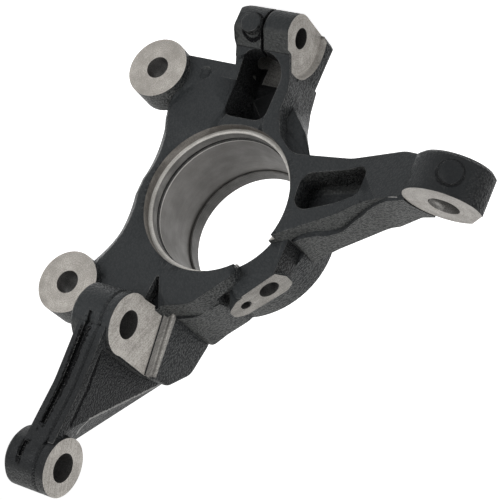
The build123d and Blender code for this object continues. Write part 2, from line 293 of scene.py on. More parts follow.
def cast_grain_group() -> Tree:
    """The pebbled skin that moulding sand leaves: rounded grains, finer grit and long swells.

    Soft cells, shifted by noise, give the grains. The height falls from each cell's middle, and
    fine noise is added to it.

    Returns:
        The group, with a height from 0 to 1, a mask of the grains' tops and a slow swell.
    """
    tree, g, reads, writes = new_group(
        "cast_grain", {"Place": ORIGIN, "Grain size": 1.3}, ("Height", "Tops", "Swell"))
    spread = g.scaled(reads["Place"], g.math("DIVIDE", 1.0, reads["Grain size"]))
    warp = g.feed(g.add("TexNoise"), Vector=spread, Scale=0.7, Detail=1.0)
    shift = g.scaled(warp.outputs["Color"], 0.9)
    cells = g.add("TexVoronoi", feature="SMOOTH_F1")
    g.feed(cells, Vector=g.vector("ADD", shift, spread), Scale=1.0, Smoothness=0.35,
           Randomness=1.0)
    pebble = g.fall(cells.outputs["Distance"], 0.15, 0.85)
    fine = g.noise(spread, scale=2.2, detail=3.0, rough=0.6)
    height = g.math("ADD", g.math("MULTIPLY", pebble, 0.65), g.math("MULTIPLY", fine, 0.5))
    g.put(writes["Height"], height)
    g.put(writes["Tops"], g.ramp(height, 0.45, 0.85))
    g.put(writes["Swell"], g.noise(reads["Place"], scale=0.06))
    return tree


def wear_and_shade_group() -> Tree:
    """Finds a casting's rubbed outer edges, and its junctions and deep hollows for painted shade.

    An edge is where a rounded normal leaves the true one and no wall is near. Noise breaks it
    up. A junction is where walls stand close round a place, and a hollow is where they stand
    round it further off. The masks of both are painted shade.

    Returns:
        The group, with one mask for each of the three.
    """
    tree, g, reads, writes = new_group(
        "edge_wear", {"Place": ORIGIN, "Width": 0.8, "Strength": 1.0},
        ("Wear", "Junction shade", "Hollow shade"))
    rounded = g.feed(g.add("Bevel", samples=6), Radius=g.math("MULTIPLY", reads["Width"], MM))
    true = g.add("NewGeometry").outputs["Normal"]
    turn = g.fall(g.measure("DOT_PRODUCT", rounded.outputs[0], true), 0.80, 0.985)
    near = g.add("AmbientOcclusion", samples=6, only_local=True)
    near = g.feed(near, Distance=JUNCTION_MM * MM).outputs["AO"]
    far = g.add("AmbientOcclusion", samples=8, only_local=True)
    far = g.feed(far, Distance=HOLLOW_MM * MM).outputs["AO"]
    patchy = g.noise(reads["Place"], scale=0.16, detail=3.0, rough=0.6)
    breaks = g.ramp(patchy, 0.35, 0.65, to_low=0.25, to_high=1.0)
    wear_and_shade = g.math("MULTIPLY", g.math("MULTIPLY", turn, g.ramp(near, 0.72, 0.93)), breaks)
    g.put(writes["Wear"], g.math("MULTIPLY", wear_and_shade, reads["Strength"], clamp=True))
    # painted shade: the junction and hollow masks darken the colour where walls stand near
    g.put(writes["Junction shade"], g.fall(near, 0.25, 0.8))
    g.put(writes["Hollow shade"], g.fall(far, 0.12, 0.72))
    return tree


def mould_seam_group() -> Tree:
    """The rough dark band that the mould's joint leaves down a rim.

    The distance from a plane square to X is divided by the band's half width, which narrows
    towards higher Z. The ends come from the distance to the band's middle height. Noise frays
    the larger of the two.

    Returns:
        The group, with a mask of the band.
    """
    tree, g, reads, writes = new_group(
        "mould_seam",
        {"Place": ORIGIN, "Seam X": 0.0, "Half": 2.0, "Middle Z": 0.0, "Reach Z": 10.0,
         "Front Y": 0.0},
        ("Mask",))
    spot = g.split(reads["Place"])
    rise = g.math("DIVIDE", g.math("SUBTRACT", spot["Z"], reads["Middle Z"]), reads["Reach Z"])
    narrowing = g.math("SUBTRACT", 1.0, g.math("MULTIPLY", rise, 0.25))
    aside = g.math("ABSOLUTE", g.math("SUBTRACT", spot["X"], reads["Seam X"]))
    across = g.math("DIVIDE", aside, g.math("MULTIPLY", reads["Half"], narrowing))
    edge = g.math("MAXIMUM", across, g.math("ABSOLUTE", rise))
    ragged = g.noise(reads["Place"], scale=0.7, detail=4.0, rough=0.7)
    edge = g.math("ADD", edge, g.fray(ragged, 1.3))
    ahead = g.math("GREATER_THAN", spot["Y"], reads["Front Y"])
    g.put(writes["Mask"], g.math("MULTIPLY", g.fall(edge, 0.8, 1.0), ahead))
    return tree


def mark_foot_shadow_group() -> Tree:
    """The painted shadow at the foot of a raised round mark, wider on the side that it leans to.

    The mask is a band that starts at a radius from an axis and whose width grows with the part
    of the offset that lies along the lean. Noise frays it, and it stays near the axis point.

    Returns:
        The group, with a mask of the painted shadow.
    """
    tree, g, reads, writes = new_group(
        "mark_foot_shadow",
        {"Place": ORIGIN, "Axis point": ORIGIN, "Axis": Y_AXIS, "Radius": 6.0, "Lean": Z_AXIS},
        ("Mask",))
    local = g.vector("SUBTRACT", reads["Place"], reads["Axis point"])
    reach = g.measure("LENGTH", g.vector("CROSS_PRODUCT", local, reads["Axis"]))
    lean = g.measure("DOT_PRODUCT", local, reads["Lean"])
    half = g.math("MULTIPLY", g.math("DIVIDE", lean, reads["Radius"], clamp=True), 0.3)
    middle = g.math("ADD", reads["Radius"], half)
    off = g.math("ABSOLUTE", g.math("SUBTRACT", reach, middle))
    ragged = g.noise(reads["Place"], scale=0.55, detail=4.0, rough=0.7)
    edge = g.math("ADD", g.math("SUBTRACT", off, half), g.fray(ragged, 1.4))
    close = g.math("LESS_THAN", g.measure("LENGTH", local), MARK_REACH_MM)
    g.put(writes["Mask"], g.math("MULTIPLY", g.fall(edge, 0.4, 0.85), close))
    return tree


def frayed_line_group() -> Tree:
    """A thin broken line between two points, for painted highlights along crests and for
    painted shade along junctions.

    The share of the way from the start is the offset times the run over the run's square, kept
    from 0 to 1. The distance is what is left of the offset, and noise breaks the line up.

    Returns:
        The group, with a mask of the line.
    """
    tree, g, reads, writes = new_group(
        "frayed_line", {"Place": ORIGIN, "Start": ORIGIN, "Run": X_AXIS, "Half": 0.4},
        ("Mask",))
    local = g.vector("SUBTRACT", reads["Place"], reads["Start"])
    part = g.measure("DOT_PRODUCT", local, reads["Run"])
    whole = g.measure("DOT_PRODUCT", reads["Run"], reads["Run"])
    share = g.math("DIVIDE", part, whole, clamp=True)
    gap = g.measure("DISTANCE", local, g.scaled(reads["Run"], share))
    ragged = g.noise(reads["Place"], scale=0.5, detail=3.0, rough=0.6)
    edge = g.math("ADD", g.math("DIVIDE", gap, reads["Half"]), g.fray(ragged, 2.2))
    g.put(writes["Mask"], g.fall(edge, 0.7, 1.25))
    return tree


def tool_marks_group() -> Tree:
    """Fine lines that a cutter leaves, crossed by specks and by a faint broad blotch.

    Returns:
        The group, with the lines and the whole tone, each a number from 0 to 1.
    """
    tree, g, reads, writes = new_group(
        "tool_marks",
        {"Place": ORIGIN, "Reach": 0.0, "Lines per mm": 2.5, "Speckle": 0.5, "Rings": 0.45},
        ("Lines", "Tone"))
    fine = g.add("TexNoise", noise_dimensions="1D")
    g.feed(fine, W=reads["Reach"], Scale=reads["Lines per mm"], Detail=2.0)
    broad = g.feed(g.add("TexNoise", noise_dimensions="1D"), W=reads["Reach"], Scale=0.35)
    lines = g.math("ADD", g.math("MULTIPLY", fine.outputs["Fac"], 0.6),
                   g.math("MULTIPLY", broad.outputs["Fac"], 0.4))
    specks = g.fray(g.noise(reads["Place"], scale=1.9, rough=0.7), reads["Speckle"])
    blotch = g.noise(reads["Place"], scale=0.12, detail=3.0, rough=0.55)
    tone = g.math("ADD", g.math("MULTIPLY", lines, reads["Rings"]), specks)
    tone = g.math("ADD", tone, g.math("MULTIPLY", blotch, 0.55))
    g.put(writes["Lines"], lines)
    g.put(writes["Tone"], g.ramp(tone, 0.25, 0.8))
    return tree


@dataclass
class Effects:
    """The shader groups that the finishes share, each built once."""

    grain: Tree = field(default_factory=cast_grain_group)
    wear_and_shade: Tree = field(default_factory=wear_and_shade_group)
    marks: Tree = field(default_factory=tool_marks_group)
    seam: Tree = field(default_factory=mould_seam_group)
    # the painted shadow round a raised mark
    foot: Tree = field(default_factory=mark_foot_shadow_group)
    line: Tree = field(default_factory=frayed_line_group)

    def place(self, graph: Graph, tree: Tree, **inputs: object) -> Sockets:
        """Puts a group into a material and feeds it.

        Args:
            graph: the material's writer.
            tree: the group.
            inputs: its inputs, as Graph.feed takes them.

        Returns:
            The group's outputs, by name.
        """
        node = graph.add("Group")
        node.node_tree = tree
        return graph.feed(node, **inputs).outputs


def place_in_mm(g: Graph) -> Socket:
    """Object coordinates in millimetres."""
    return g.scaled(g.add("TexCoord").outputs["Object"], 1.0 / MM)


def new_material(name: str) -> tuple[bpy.types.Material, Graph, Node]:
    """An empty material with its Principled shader.

    Args:
        name: the material's name.

    Returns:
        The material, its writer and the shader node.
    """
    material = bpy.data.materials.new(name)
    material.use_nodes = True
    g = Graph(material.node_tree)
    shader = g.add("BsdfPrincipled")
    g.feed(g.add("OutputMaterial"), Surface=shader.outputs[0])
    return material, g, shader


# ---------------------------------------------------------------- finishes


@dataclass(frozen=True)
class Seam:
    """A rough band down a rim, in millimetres, on the faces ahead of one Y."""

    seam_x: float
    half: float
    middle_z: float
    reach_z: float
    front_y: float


@dataclass(frozen=True)
class MarkFootShadow:
    """The painted shadow at the foot of a raised round mark, in millimetres, and how dark it is.
    """

    point: Point
    axis: Point
    radius: float
    lean: Point
    strength: float


@dataclass(frozen=True)
class Stroke:
    """A thin line from one point to another, in millimetres, and its half width."""

    start: Point
    end: Point
    half: float


@dataclass(frozen=True)
class PaintedCasting:
    """Black paint over the sand cast skin: calm where it faces inboard, pebbled on the sides.

    The shares say how much of a tone or a mask is mixed in, from 0 to 1.
    """

    name: str = "black_paint"
    black: Colour = (0.002, 0.0023, 0.0028)
    deep: Colour = (0.017, 0.0193, 0.0208)
    base: Colour = (0.0245, 0.0268, 0.0284)
    # a dusting with painted sheen, for the grains' tops and the faces that look up
    dust_and_sheen: Colour = (0.085, 0.087, 0.084)
    # the light tone of rubbed edges and specks, and of the painted crest highlights
    worn_and_highlight: Colour = (0.36, 0.355, 0.345)
    grain_mm: float = 1.25
    bump_mm: float = 1.35
    rounding_mm: float = 2.2
    wear_mm: float = 0.9
    wear_strength: float = 0.9
    # painted shade in hollows and at junctions: how much black each mixes in
    hollow_shade: float = 0.7
    junction_shade: float = 0.75
    calm: float = 0.85
    # how much lighter the faces that look up are
    upward_lightening: float = 0.75
    gap_shade: float = 0.6
    # painted shade towards the flange's upper end and the arm's far end
    far_end_shade: float = 0.6
    far_shade_from_z: Span = (86.0, 104.0)
    far_shade_from_x: Span = (112.0, 134.0)
    speck_light: float = 0.3
    edge_light: float = 0.4
    crest_light: float = 0.85
    gloss: Span = (0.46, 0.3)
    dull: float = 0.95
    specular: float = 0.12
    seams: tuple[Seam, ...] = (Seam(-18.9, 2.7, 118.5, 29.0, 30.0),
                               Seam(-22.6, 1.9, 161.0, 7.0, 33.0))
    # painted shadows round the two raised round marks
    foot_shadows: tuple[MarkFootShadow, ...] = (
        MarkFootShadow((-17.1, 3.0, -96.0), Y_AXIS, 6.4, (0.3, 0.0, 1.0), 1.0),
        MarkFootShadow((131.5, 22.5, -27.8), (0.358, 0.934, 0.0), 6.5, (-0.6, 0.0, 0.4), 0.5))
    # painted highlights: light lines along the flange's crest and the arm's crest
    crest_highlights: tuple[Stroke, ...] = (
        Stroke((-12.7, 9.5, 131.4), (-12.9, -36.0, 96.0), 0.8),
        Stroke((-12.7, 9.5, 131.4), (-16.5, 8.2, 137.4), 0.7),
        Stroke((-16.5, 8.2, 137.4), (-19.2, 4.9, 139.9), 0.7),
        Stroke((100.5, 17.0, -16.9), (106.0, 19.2, -17.1), 0.25))
    # painted shade: dark lines where the flange's bead stands over the web
    shade_strokes: tuple[Stroke, ...] = (
        Stroke((-12.5, 24.2, 102.5), (-12.5, 21.4, 119.0), 1.3),
        Stroke((-12.5, 21.4, 119.0), (-12.5, 22.3, 139.0), 1.0))

    def strokes(self, g: Graph, effects: Effects, spot: Socket,
                runs: tuple[Stroke, ...]) -> Socket:
        """Broken lines, all in one mask.

        Args:
            g: the material's writer.
            effects: the shared groups.
            spot: the place in millimetres.
            runs: the lines.

        Returns:
            The mask's socket.
        """
        total: Value = 0.0
        for line in runs:
            run = tuple(b - a for a, b in zip(line.start, line.end))
            mask = effects.place(g, effects.line, Place=spot, Start=line.start, Run=run,
                                 Half=line.half)["Mask"]
            total = g.math("MAXIMUM", total, mask)
        return total

    def seams_and_shade_lines(self, g: Graph, effects: Effects, spot: Socket) -> Socket:
        """Mould seams, painted shade down the strut flange, and painted shadows of the round
        marks.

        Args:
            g: the material's writer.
            effects: the shared groups.
            spot: the place in millimetres.

        Returns:
            The mask's socket.
        """
        # painted shade down the strut flange
        total = self.strokes(g, effects, spot, self.shade_strokes)
        for seam in self.seams:
            mask = effects.place(g, effects.seam, Place=spot, Seam_X=seam.seam_x,
                                 Half=seam.half, Middle_Z=seam.middle_z,
                                 Reach_Z=seam.reach_z, Front_Y=seam.front_y)["Mask"]
            total = g.math("MAXIMUM", total, mask)
        # painted shadows round the raised round marks
        for foot in self.foot_shadows:
            mask = effects.place(g, effects.foot, Place=spot, Axis_point=foot.point,
                                 Axis=foot.axis, Radius=foot.radius, Lean=foot.lean)["Mask"]
            total = g.math("MAXIMUM", total, g.math("MULTIPLY", mask, foot.strength))
        return total

    def skin(self, g: Graph, grain: Sockets, facing: Socket, spot: Socket,
             pebbled: Socket) -> Socket:
        """The paint's colour before its painted shade and its rubbed and highlighted places.

        It swells between two tones, and faces that look up are lighter. The grains' tops are
        lighter, a dusting with painted sheen, most where they look up. The gaps between the grains
        get painted shade, and painted shade darkens the flange's upper end and the arm's far end.

        Args:
            g: the material's writer.
            grain: the outputs of the grain's group.
            facing: the true normal.
            spot: the place in millimetres.
            pebbled: how much of the grain shows.

        Returns:
            The colour's socket.
        """
        up, where = g.split(facing)["Z"], g.split(spot)
        tone = g.mix(grain["Swell"], self.deep, self.base)
        # faces that look up are lighter
        tone = g.mix(g.math("MULTIPLY", g.ramp(up, 0.3, 0.9), self.upward_lightening), tone,
                     self.dust_and_sheen)
        # painted shade in the gaps between the grains
        gaps = g.math("MULTIPLY", g.fall(grain["Height"], 0.2, 0.5),
                      g.math("MULTIPLY", pebbled, self.gap_shade))
        tone = g.mix(gaps, tone, self.black)
        # a dusting with painted sheen on the grains' tops, most on faces that look up
        sheen_and_dust_share = g.math("MULTIPLY", pebbled, g.ramp(up, 0.2, 0.9, to_low=0.4, to_high=1.1))
        tone = g.mix(g.math("MULTIPLY", grain["Tops"], sheen_and_dust_share, clamp=True), tone, self.dust_and_sheen)
        # painted shade: darker towards the flange's upper end and the arm's far end
        far_shade = g.math("MAXIMUM", g.ramp(where["Z"], *self.far_shade_from_z),
                       g.ramp(where["X"], *self.far_shade_from_x))
        return g.mix(g.math("MULTIPLY", far_shade, self.far_end_shade), tone, self.black)

    def material(self, effects: Effects) -> bpy.types.Material:
        """Builds the paint.

        Args:
            effects: the shared groups.

        Returns:
            The material.
        """
        material, g, shader = new_material(self.name)
        spot = place_in_mm(g)
        grain = effects.place(g, effects.grain, Place=spot, Grain_size=self.grain_mm)
        wear_and_shade = effects.place(g, effects.wear_and_shade, Place=spot, Width=self.wear_mm,
                             Strength=self.wear_strength)
        facing = g.add("NewGeometry").outputs["True Normal"]
        lines = self.seams_and_shade_lines(g, effects, spot)
        inboard = g.math("MULTIPLY", g.ramp(g.split(facing)["Y"], 0.45, 0.85), self.calm)
        pebbled = g.math("MAXIMUM", g.math("SUBTRACT", 1.0, inboard), lines)
        # painted shade: black mixed in at junctions, in hollows and along the shade lines; the
        # mould seams among those lines are the casting's own dark joints
        dark = g.math("MAXIMUM", g.math("MULTIPLY", wear_and_shade["Junction shade"], self.junction_shade),
                      g.math("MULTIPLY", wear_and_shade["Hollow shade"], self.hollow_shade))
        dark = g.math("MAXIMUM", dark, lines)
        specks = g.ramp(g.noise(spot, scale=1.5, rough=0.6), 0.62, 0.7)
        specks = g.math("MULTIPLY", g.math("MULTIPLY", specks, lines), self.speck_light)
        edges = g.math("MULTIPLY", wear_and_shade["Wear"], self.edge_light)
        # painted highlights along the crests
        crest_highlights = g.math("MULTIPLY", self.strokes(g, effects, spot, self.crest_highlights),
                        self.crest_light)
        tone = g.mix(dark, self.skin(g, grain, facing, spot, pebbled), self.black)
        for light in (specks, edges, crest_highlights):
            tone = g.mix(light, tone, self.worn_and_highlight)
        gloss = g.ramp(grain["Height"], 0.3, 0.9, *self.gloss)
        duller = g.math("MULTIPLY", g.math("SUBTRACT", self.dull, gloss), dark)
        rounded = g.feed(g.add("Bevel", samples=8), Radius=self.rounding_mm * MM)
        bump = g.feed(g.add("Bump"), Height=g.math("MULTIPLY", grain["Height"], pebbled),
                      Normal=rounded.outputs[0], Strength=1.0, Distance=self.bump_mm * MM)
        g.feed(shader, Base_Color=tone, Roughness=g.math("ADD", gloss, duller),
               Normal=bump.outputs[0], Metallic=0.0, Specular_IOR_Level=self.specular)
        return material


@dataclass(frozen=True)
class BareMetal:
    """A machined face: grey iron with cutter marks round an axis or along it."""

    name: str
    centre: Point
    axis: Axis
    dark: Colour = (0.22, 0.205, 0.185)
    light: Colour = (0.47, 0.445, 0.41)
    bright: Colour = (0.62, 0.60, 0.57)
    lines: float = 2.2
    speckle: float = 1.0
    rings: float = 0.45
    rough: float = 0.46
    rough_spread: Span = (0.1, -0.06)
    metal: float = 0.35
    wear_mm: float = 0.7
    wear_strength: float = 0.6
    # painted shade at junctions and in hollows, and the tone of the hollow shade
    junction_shade: float = 0.5
    hollow_shade: float = 0.6
    hollow_shade_tone: float = 0.12
    edge_light: float = 0.4
    along_axis: bool = False
    bright_from: float | None = None
    bright_step: float = 0.25
    bright_share: float = 0.85
    groove_mm: float = 0.06
    groove_share: float = 0.25

    def reach(self, g: Graph, spot: Socket) -> Socket:
        """How far a place is along the axis, or how far it is from the axis.

        Args:
            g: the material's writer.
            spot: the place in millimetres.

        Returns:
            The distance's socket.
        """
        local = g.vector("SUBTRACT", spot, self.centre)
        if self.along_axis:
            return g.split(local)[self.axis.name]
        across = tuple(0.0 if axis is self.axis else 1.0 for axis in Axis)
        return g.measure("LENGTH", g.vector("MULTIPLY", local, across))

    def material(self, effects: Effects) -> bpy.types.Material:
        """Builds the machined metal.

        Args:
            effects: the shared groups.

        Returns:
            The material.
        """
        material, g, shader = new_material(self.name)
        spot = place_in_mm(g)
        reach = self.reach(g, spot)
        marks = effects.place(g, effects.marks, Place=spot, Reach=reach,
                              Lines_per_mm=self.lines, Speckle=self.speckle, Rings=self.rings)
        wear_and_shade = effects.place(g, effects.wear_and_shade, Place=spot, Width=self.wear_mm,
                             Strength=self.wear_strength)
        tone = g.mix(marks["Tone"], self.dark, self.light)
        # painted shade: the dark tone mixed in at junctions
        tone = g.mix(g.math("MULTIPLY", wear_and_shade["Junction shade"], self.junction_shade), tone, self.dark)
        # painted highlight, with some rubbing: lighter from bright_from on, at the seat's edge by
        # the groove
        if self.bright_from is not None:
            edge = g.ramp(reach, self.bright_from - self.bright_step, self.bright_from)
            tone = g.mix(g.math("MULTIPLY", edge, self.bright_share), tone, self.bright)
        # painted shade: a near black tone mixed in at hollows
        shade = tuple(part * self.hollow_shade_tone for part in self.dark)
        tone = g.mix(g.math("MULTIPLY", wear_and_shade["Hollow shade"], self.hollow_shade), tone, shade)
        tone = g.mix(g.math("MULTIPLY", wear_and_shade["Wear"], self.edge_light), tone, self.bright)
        rough = g.ramp(marks["Tone"], 0.0, 1.0, *(self.rough + by for by in self.rough_spread))
        bump = g.feed(g.add("Bump"), Height=marks["Lines"], Strength=self.groove_share,
                      Distance=self.groove_mm * MM)
        g.feed(shader, Base_Color=tone, Roughness=rough, Normal=bump.outputs[0],
               Metallic=self.metal)
        return material


# ---------------------------------------------------------------- surfaces with a finish


@dataclass(frozen=True)
class Patch:
    """One surface of the casting with a finish of its own, in millimetres.

    A flat patch is a plane through its centre, square to its axis, and reaches as far as the
    radius. A round patch is a cylinder about its axis. A hollow is all that faces its axis
    within the radius. Low and high bound the height along the axis, and the slack is the play
    in a cylinder's radius.
    """

    finish: BareMetal | PaintedCasting
    side: Side
    centre: Point
    axis: Point
    radius: float
    low: float = -0.08
    high: float = 0.08
    slack: float = 0.3
    square_on: float = 0.999
    edge_on: float = 0.08

    def holds(self, spots: np.ndarray, normals: np.ndarray) -> np.ndarray:
        """Tells which faces belong to the patch.

        The height is the part of the offset from the centre along the axis, and the reach is
        the length of what is left. A flat patch takes the faces that look along the axis, lie
        between the two heights and reach less far than the radius. A round patch takes those
        square to the axis whose reach is the radius, within the slack. A hollow takes those
        within the radius whose normal and offset point opposite ways.

        Args:
            spots: the faces' middles in millimetres, one row each.
            normals: the faces' unit normals, one row each.

        Returns:
            True for each face of the patch.
        """
        along = np.array(self.axis, float)
        along /= np.linalg.norm(along)
        offset = spots - np.array(self.centre)
        height = offset @ along
        reach = np.linalg.norm(offset - height[:, None] * along, axis=1)
        facing = normals @ along
        between = (height > self.low) & (height < self.high)
        if self.side is Side.FLAT:
            return between & (facing > self.square_on) & (reach < self.radius)
        if self.side is Side.HOLLOW:
            return between & (reach < self.radius) & ((normals * offset).sum(axis=1) < 0.0)
        near = np.abs(reach - self.radius) < self.slack
        return between & (np.abs(facing) < self.edge_on) & near


@dataclass
class BearingBore:
    """The bearing's bore along Y: lip, seat, snap ring groove, land, ledge and wide mouth."""

    lip_r: float = 37.5
    seat_r: float = 39.0
    land_r: float = 39.5
    groove_r: float = 40.6
    mouth_r: float = 42.0
    lip_y: float = -52.0
    shoulder_y: float = -43.0
    groove_back_y: float = -7.1
    groove_front_y: float = -4.9
    ledge_y: float = 0.0
    mouth_y: float = 5.5
    bright_edge: float = 0.65
    near: float = 0.1
    slack: float = 0.25

    def patches(self) -> list[Patch]:
        """Lists the bore's walls, then the rings between them.

        Returns:
            The patches.
        """
        # the seat's edge by the groove gets a painted highlight, with some rubbing
        seat = BareMetal("bore_seat", ORIGIN, Axis.Y, along_axis=True, lines=3.0, speckle=0.3,
                         dark=(0.168, 0.161, 0.152), light=(0.235, 0.227, 0.217),
                         rough=0.52, metal=0.3, hollow_shade=0.2,
                         bright_from=self.groove_back_y - self.bright_edge)
        land = BareMetal("bore_band", ORIGIN, Axis.Y, along_axis=True, lines=1.4, speckle=0.5,
                         dark=(0.08, 0.077, 0.072), light=(0.2, 0.192, 0.18),
                         rough=0.45, hollow_shade=0.2)
        # painted shade: the lip at the bore's far end is a darker copy of the land's finish
        lip = replace(land, name="bore_lip", dark=(0.055, 0.053, 0.05),
                      light=(0.125, 0.12, 0.113), rough=0.5)
        # painted shade: the groove's finish is near black
        groove = BareMetal("bore_groove", ORIGIN, Axis.Y, dark=(0.035, 0.035, 0.034),
                           light=(0.09, 0.088, 0.084), rough=0.6)
        mouth = BareMetal("bore_mouth", ORIGIN, Axis.Y, along_axis=True, speckle=0.8,
                          dark=(0.05, 0.045, 0.04), light=(0.14, 0.127, 0.112),
                          rough=0.5)
        ledge = BareMetal("bore_ledge", ORIGIN, Axis.Y, dark=(0.27, 0.26, 0.24),
                          light=(0.47, 0.455, 0.43), rough=0.42, hollow_shade=0.2)
        walls = ((seat, self.seat_r, self.shoulder_y, self.groove_back_y),
                 (land, self.land_r, self.groove_front_y, self.ledge_y),
                 (lip, self.lip_r, self.lip_y, self.shoulder_y),
                 (groove, self.groove_r, self.groove_back_y, self.groove_front_y),
                 (mouth, self.mouth_r, self.ledge_y, self.mouth_y))
        found = [Patch(finish, Side.ROUND, ORIGIN, Y_AXIS, radius, low - self.near,
                       high + self.near, self.slack)
                 for finish, radius, low, high in walls]
        rings = ((ledge, self.ledge_y, self.mouth_r, 1.0),
                 (lip, self.shoulder_y, self.seat_r, 1.0),
                 (groove, self.groove_back_y, self.groove_r, 1.0),
                 (groove, self.groove_front_y, self.groove_r, -1.0))
        return found + [Patch(finish, Side.FLAT, (0.0, y, 0.0), (0.0, way, 0.0),
                              radius + self.near)
                        for finish, y, radius, way in rings]


@dataclass
class CaliperEars:
    """The brake caliper's two ears, each with a milled face and a plain hole."""

    reach: float = 90.2
    angles_deg: Span = (132.0, 223.5)
    face_y: float = 11.1
    face_r: float = 17.6
    hole_r: float = 6.4
    depth: float = 30.0

    def patches(self) -> list[Patch]:
        """Lists each ear's face and hole.

        Returns:
            The patches.
        """
        found = []
        for count, angle in enumerate(np.radians(self.angles_deg), start=1):
            x, z = self.reach * float(np.cos(angle)), self.reach * float(np.sin(angle))
            centre = (x, self.face_y, z)
            face = BareMetal(f"ear_face_{count}", centre, Axis.Y, rings=0.28)
            wall = BareMetal(f"ear_hole_{count}", centre, Axis.Y, along_axis=True,
                             dark=(0.05, 0.048, 0.045), light=(0.2, 0.19, 0.18))
            found.append(Patch(face, Side.FLAT, centre, Y_AXIS, self.face_r))
            found.append(Patch(wall, Side.ROUND, centre, Y_AXIS, self.hole_r, -self.depth, 1.0))
        return found


@dataclass
class StrutFlange:
    """The strut's flange: milled pads round two holes, a strip by one and a rolled edge."""

    face_x: float = -6.0
    holes: tuple[Span, ...] = ((22.6, 160.2), (21.3, 81.8))
    hole_r: float = 7.6
    depth: float = 40.0
    pad_reach: float = 60.0
    cutter: Span = (-60.0, 120.0)
    strip: Point = (-5.2, -8.0, 80.0)
    strip_reach: float = 40.0
    block_x: float = -2.0
    block_edge: tuple[Span, Span] = ((-1.2, 40.0), (-13.4, 98.0))
    block_round: float = 1.5
    block_slack: float = 0.2

    def patches(self) -> list[Patch]:
        """Lists the pads and their holes, then the strip, the block's edge and its rounding.

        The edge runs between two points. Its way out is the run turned by a quarter, and the
        rounding's axis lies one radius in from the edge and from the block's face.

        Returns:
            The patches.
        """
        about = (self.face_x, *self.cutter)
        pads = BareMetal("strut_pads", about, Axis.X, lines=0.8, speckle=1.2)
        wall = BareMetal("strut_hole_walls", ORIGIN, Axis.X, along_axis=True,
                         dark=(0.035, 0.035, 0.034), light=(0.13, 0.125, 0.12))
        strip = BareMetal("milled_strip", about, Axis.X, lines=0.8,
                          dark=(0.07, 0.066, 0.06), light=(0.21, 0.2, 0.186))
        edge = BareMetal("milled_edge", about, Axis.X, lines=0.8, rough=0.48,
                         dark=(0.11, 0.105, 0.097), light=(0.28, 0.27, 0.25))
        found = []
        for spot in ((self.face_x, y, z) for y, z in self.holes):
            found.append(Patch(pads, Side.FLAT, spot, X_AXIS, self.pad_reach))
            found.append(Patch(wall, Side.ROUND, spot, X_AXIS, self.hole_r, -self.depth, 1.0))
        found.append(Patch(strip, Side.FLAT, self.strip, X_AXIS, self.strip_reach))
        low, high = np.array(self.block_edge)
        run = (high - low) / np.linalg.norm(high - low)
        out = np.array((run[1], -run[0]))
        middle = (low + high) / 2
        inside = middle - self.block_round * out
        found.append(Patch(edge, Side.FLAT, (self.block_x, *middle.tolist()),
                           (0.0, *out.tolist()), self.strip_reach))
        found.append(Patch(edge, Side.ROUND,
                           (self.block_x - self.block_round, *inside.tolist()),
                           (0.0, *run.tolist()), self.block_round, -self.strip_reach,
                           self.strip_reach, self.block_slack))
        return found


@dataclass
class BallJointClamp:
    """The ball joint's split clamp: the pinch bolt's milled seat and hole, and the stud bore."""

    bolt: Point = (6.0, 0.5, -99.0)
    bolt_r: float = 5.8
    seat_r: float = 21.5
    seat_height: float = 12.0
    stud: Point = (-10.5, -11.0, -111.0)
    stud_r: float = 9.0
    depth: float = 40.0
    near: float = 0.2

    def patches(self) -> list[Patch]:
        """Lists the seat's round wall and its floor, then the bolt's hole and the stud bore.

        Returns:
            The patches.
        """
        seat = BareMetal("bolt_seat", self.bolt, Axis.X)
        bolt = BareMetal("bolt_hole", self.bolt, Axis.X, along_axis=True,
                         dark=(0.03, 0.03, 0.03), light=(0.11, 0.105, 0.1))
        stud = BareMetal("stud_bore", (*self.stud[:2], 0.0), Axis.Z, along_axis=True, lines=0.9,
                         dark=(0.09, 0.088, 0.084), light=(0.34, 0.33, 0.31))
        return [Patch(seat, Side.ROUND, self.bolt, X_AXIS, self.seat_r, -self.near,
                      self.seat_height),
                Patch(seat, Side.FLAT, self.bolt, X_AXIS, self.seat_r + self.near),
                Patch(bolt, Side.ROUND, self.bolt, X_AXIS, self.bolt_r, -self.depth, 1.0),
                Patch(stud, Side.ROUND, self.stud, Z_AXIS, self.stud_r, -1.0, self.depth)]


@dataclass
class TieRodBoss:
    """The tie rod's boss: its milled face and its tapered hole, by the taper's middle."""

    centre: Point = (132.5, 21.5, -17.0)
    face_r: float = 24.0
    hole_r: float = 7.6
    taper: float = 0.8
    depth: float = 22.0

    def patches(self) -> list[Patch]:
        """Lists the face and the hole.

        Returns:
            The patches.
        """
        face = BareMetal("tie_face", self.centre, Axis.Z, dark=(0.175, 0.164, 0.15),
                         light=(0.375, 0.355, 0.33))
        wall = BareMetal("tie_hole", self.centre, Axis.Z, along_axis=True,
                         dark=(0.06, 0.058, 0.055), light=(0.26, 0.25, 0.235))
        return [Patch(face, Side.FLAT, self.centre, Z_AXIS, self.face_r),
                Patch(wall, Side.ROUND, self.centre, Z_AXIS, self.hole_r, -self.depth, 1.0,
                      self.taper)]


